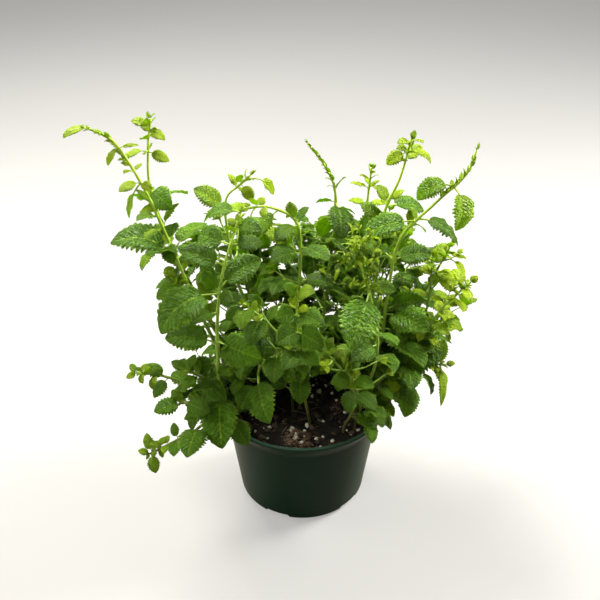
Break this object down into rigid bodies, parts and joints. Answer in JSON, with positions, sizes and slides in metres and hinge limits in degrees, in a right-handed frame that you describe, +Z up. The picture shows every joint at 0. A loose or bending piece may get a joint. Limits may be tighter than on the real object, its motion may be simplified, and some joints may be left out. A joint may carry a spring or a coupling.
{
  "type": "potted mint plant",
  "caption": "Bushy mint plant with arching stems and toothed opposite leaves, growing in a round plastic nursery pot of potting mix.",
  "frame": {"origin": "on the surface it stands on, under the middle of the pot", "axes": "+Z up, -Y towards the front, where the soil shows"},
  "size_m": [0.2909, 0.2182, 0.3422],
  "materials": {
    "pot": "satin dark green moulded plastic",
    "soil": "dark crumbly potting mix with white perlite",
    "stem": "pale green soft square stem",
    "leaf": "thin toothed leaf, mid green, paler below"
  },
  "bodies": {
    "root": {"pot": "pot", "soil": "soil", "stem_back_left": "stem", "stem_back_low": "stem", "stem_back_middle": "stem", "stem_back_right": "stem", "stem_back_spire": "stem", "stem_curled_top": "stem", "stem_far_right": "stem", "stem_front_curl": "stem", "stem_front_left": "stem", "stem_hook": "stem", "stem_leaning_top": "stem", "stem_left_arch": "stem", "stem_left_low": "stem", "stem_left_middle": "stem", "stem_left_rim": "stem", "stem_left_upright": "stem", "stem_lower_trail": "stem", "stem_middle_lean": "stem", "stem_nodding": "stem", "stem_pale_spire": "stem", "stem_right_arch": "stem", "stem_right_bright": "stem", "stem_right_low": "stem", "stem_right_outer": "stem", "stem_right_tuft": "stem", "stem_right_upright": "stem", "stem_rim_right": "stem", "stem_thin_front": "stem", "stem_upper_trail": "stem", "leaf_back_left_1": "leaf", "leaf_back_left_2": "leaf", "leaf_back_left_3": "leaf", "leaf_back_low_1": "leaf", "leaf_back_middle_1": "leaf", "leaf_back_middle_2": "leaf", "leaf_back_middle_3": "leaf", "leaf_back_right_1": "leaf", "leaf_back_right_2": "leaf", "leaf_back_spire_1": "leaf", "leaf_curled_top_1": "leaf", "leaf_far_right_1": "leaf", "leaf_front_left_1": "leaf", "leaf_front_left_2": "leaf", "leaf_front_left_3": "leaf", "leaf_front_left_4": "leaf", "leaf_front_left_5": "leaf", "leaf_left_arch_1": "leaf", "leaf_left_arch_2": "leaf", "leaf_left_middle_1": "leaf", "leaf_left_upright_1": "leaf", "leaf_lower_trail_1": "leaf", "leaf_right_arch_1": "leaf", "leaf_right_arch_2": "leaf", "leaf_right_arch_3": "leaf", "leaf_right_arch_4": "leaf", "leaf_right_low_1": "leaf", "leaf_right_outer_1": "leaf", "leaf_right_upright_1": "leaf"}
  },
  "joints": []
}
